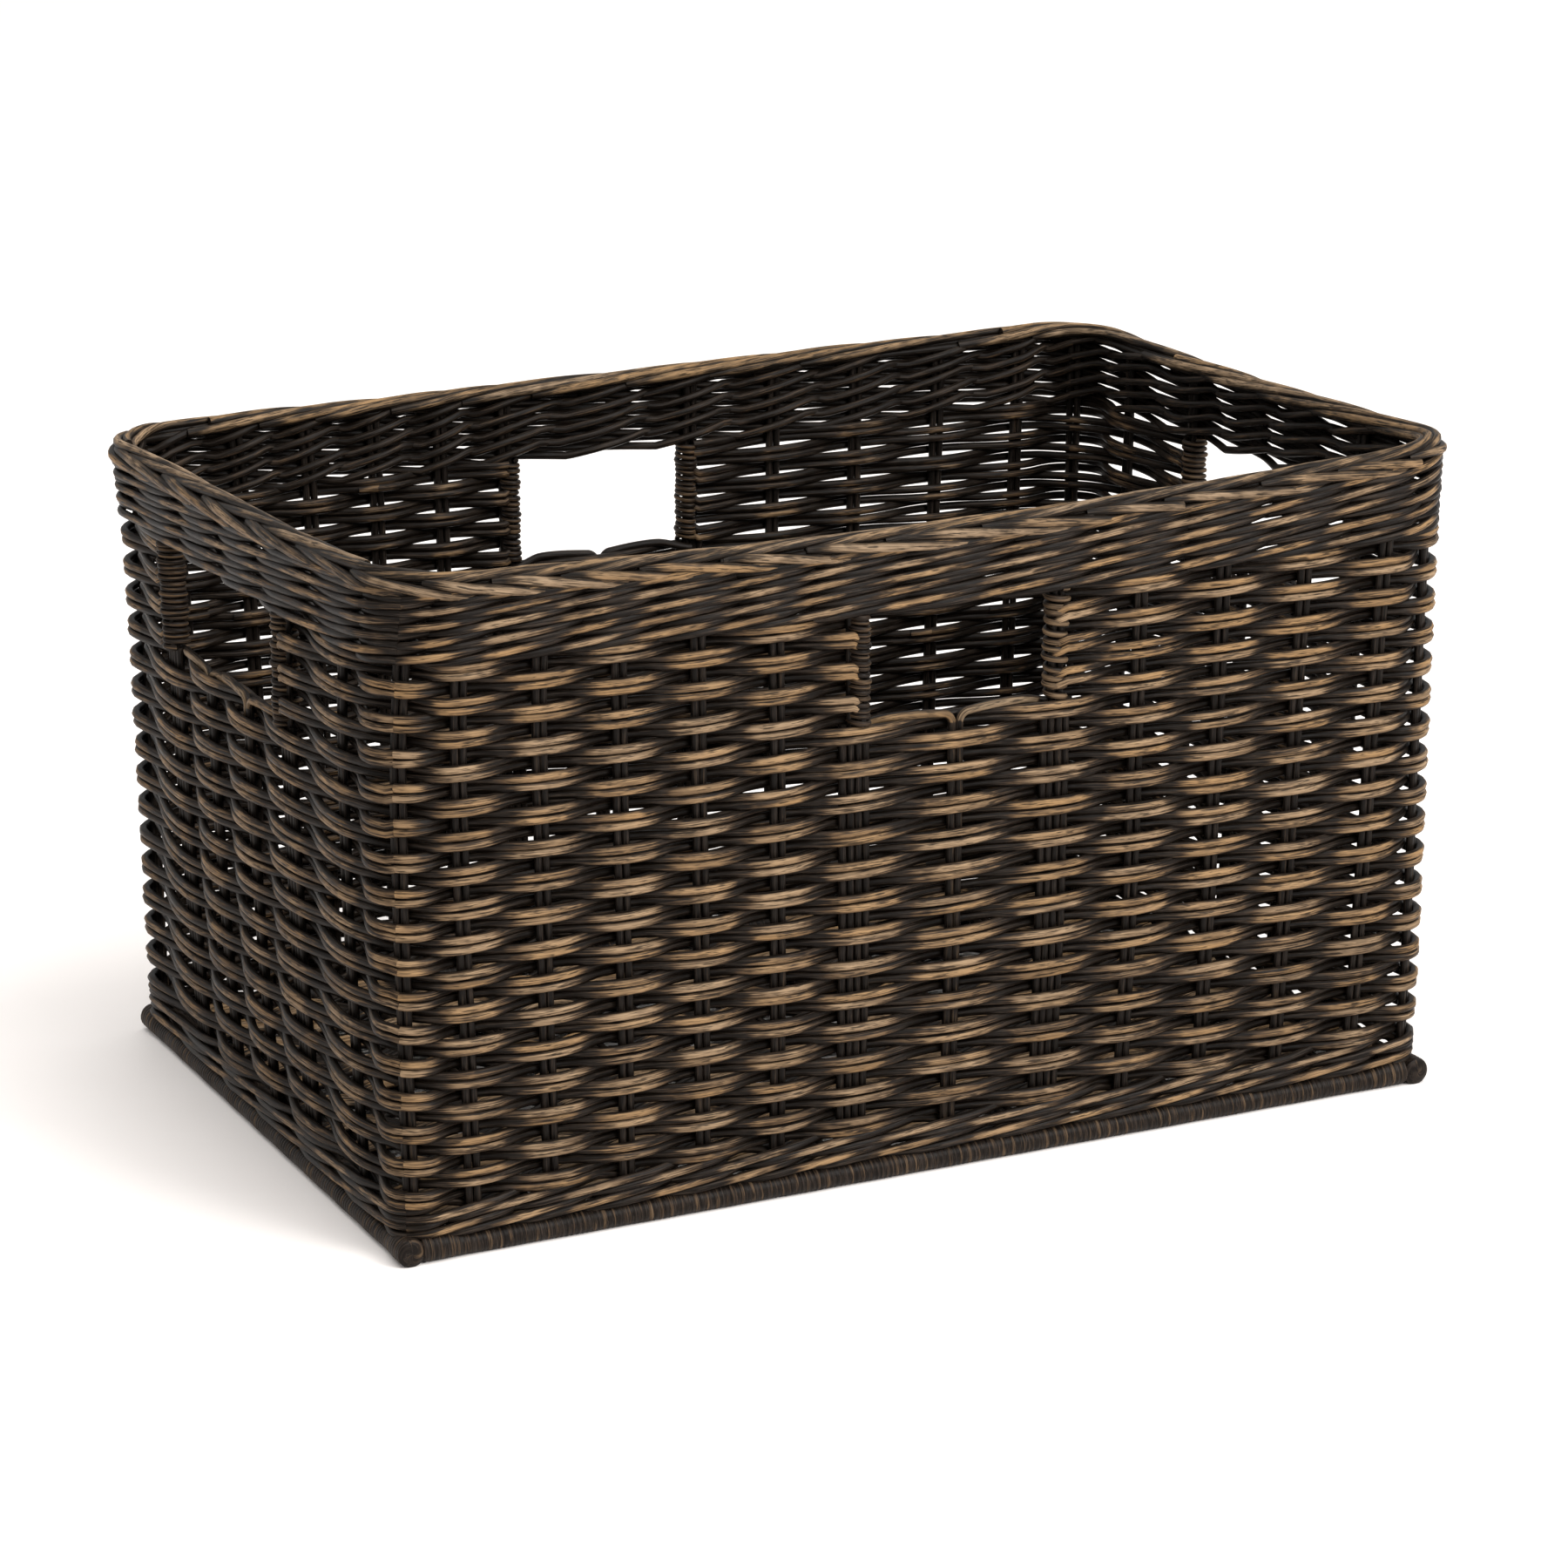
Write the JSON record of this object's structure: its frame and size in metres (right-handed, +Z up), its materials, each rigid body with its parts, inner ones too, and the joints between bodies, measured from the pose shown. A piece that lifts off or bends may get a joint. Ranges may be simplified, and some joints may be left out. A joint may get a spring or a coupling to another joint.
{
  "type": "log basket",
  "caption": "Open rectangular log basket of woven dark rattan with a hand hole in each side, a bound pole base frame and a plaited rim.",
  "frame": {"origin": "middle of the footprint, on the floor under the base frame", "axes": "+X along the long side, to the right seen from the front; front towards -Y; +Z up"},
  "size_m": [0.62, 0.43, 0.362],
  "materials": {
    "stained_stake": "satin",
    "rubbed_weaver": "satin",
    "border_rod": "satin",
    "binding_peel": "satin"
  },
  "bodies": {
    "root": {"front_base_pole": "stained_stake", "right_base_pole": "stained_stake", "back_base_pole": "stained_stake", "left_base_pole": "stained_stake", "front_pole_binding": "binding_peel", "right_pole_binding": "binding_peel", "back_pole_binding": "binding_peel", "left_pole_binding": "binding_peel", "front_bottom_wale": "rubbed_weaver", "right_bottom_wale": "rubbed_weaver", "back_bottom_wale": "rubbed_weaver", "left_bottom_wale": "rubbed_weaver", "front_stakes": "stained_stake", "right_stakes": "stained_stake", "back_stakes": "stained_stake", "left_stakes": "stained_stake", "front_cut_stakes": "stained_stake", "right_cut_stakes": "stained_stake", "back_cut_stakes": "stained_stake", "left_cut_stakes": "stained_stake", "front_weave_lower": "rubbed_weaver", "right_weave_lower": "rubbed_weaver", "back_weave_lower": "rubbed_weaver", "left_weave_lower": "rubbed_weaver", "front_weave_left_of_hole": "rubbed_weaver", "right_weave_left_of_hole": "rubbed_weaver", "back_weave_left_of_hole": "rubbed_weaver", "left_weave_left_of_hole": "rubbed_weaver", "front_weave_right_of_hole": "rubbed_weaver", "right_weave_right_of_hole": "rubbed_weaver", "back_weave_right_of_hole": "rubbed_weaver", "left_weave_right_of_hole": "rubbed_weaver", "front_hole_binding_left": "binding_peel", "right_hole_binding_left": "binding_peel", "back_hole_binding_left": "binding_peel", "left_hole_binding_left": "binding_peel", "front_hole_binding_right": "binding_peel", "right_hole_binding_right": "binding_peel", "back_hole_binding_right": "binding_peel", "left_hole_binding_right": "binding_peel", "front_top_wale": "rubbed_weaver", "right_top_wale": "rubbed_weaver", "back_top_wale": "rubbed_weaver", "left_top_wale": "rubbed_weaver", "front_rim_border": "border_rod", "right_rim_border": "border_rod", "back_rim_border": "border_rod", "left_rim_border": "border_rod", "base_sticks": "stained_stake", "base_weave": "rubbed_weaver", "corner_stakes": "stained_stake"}
  },
  "joints": []
}
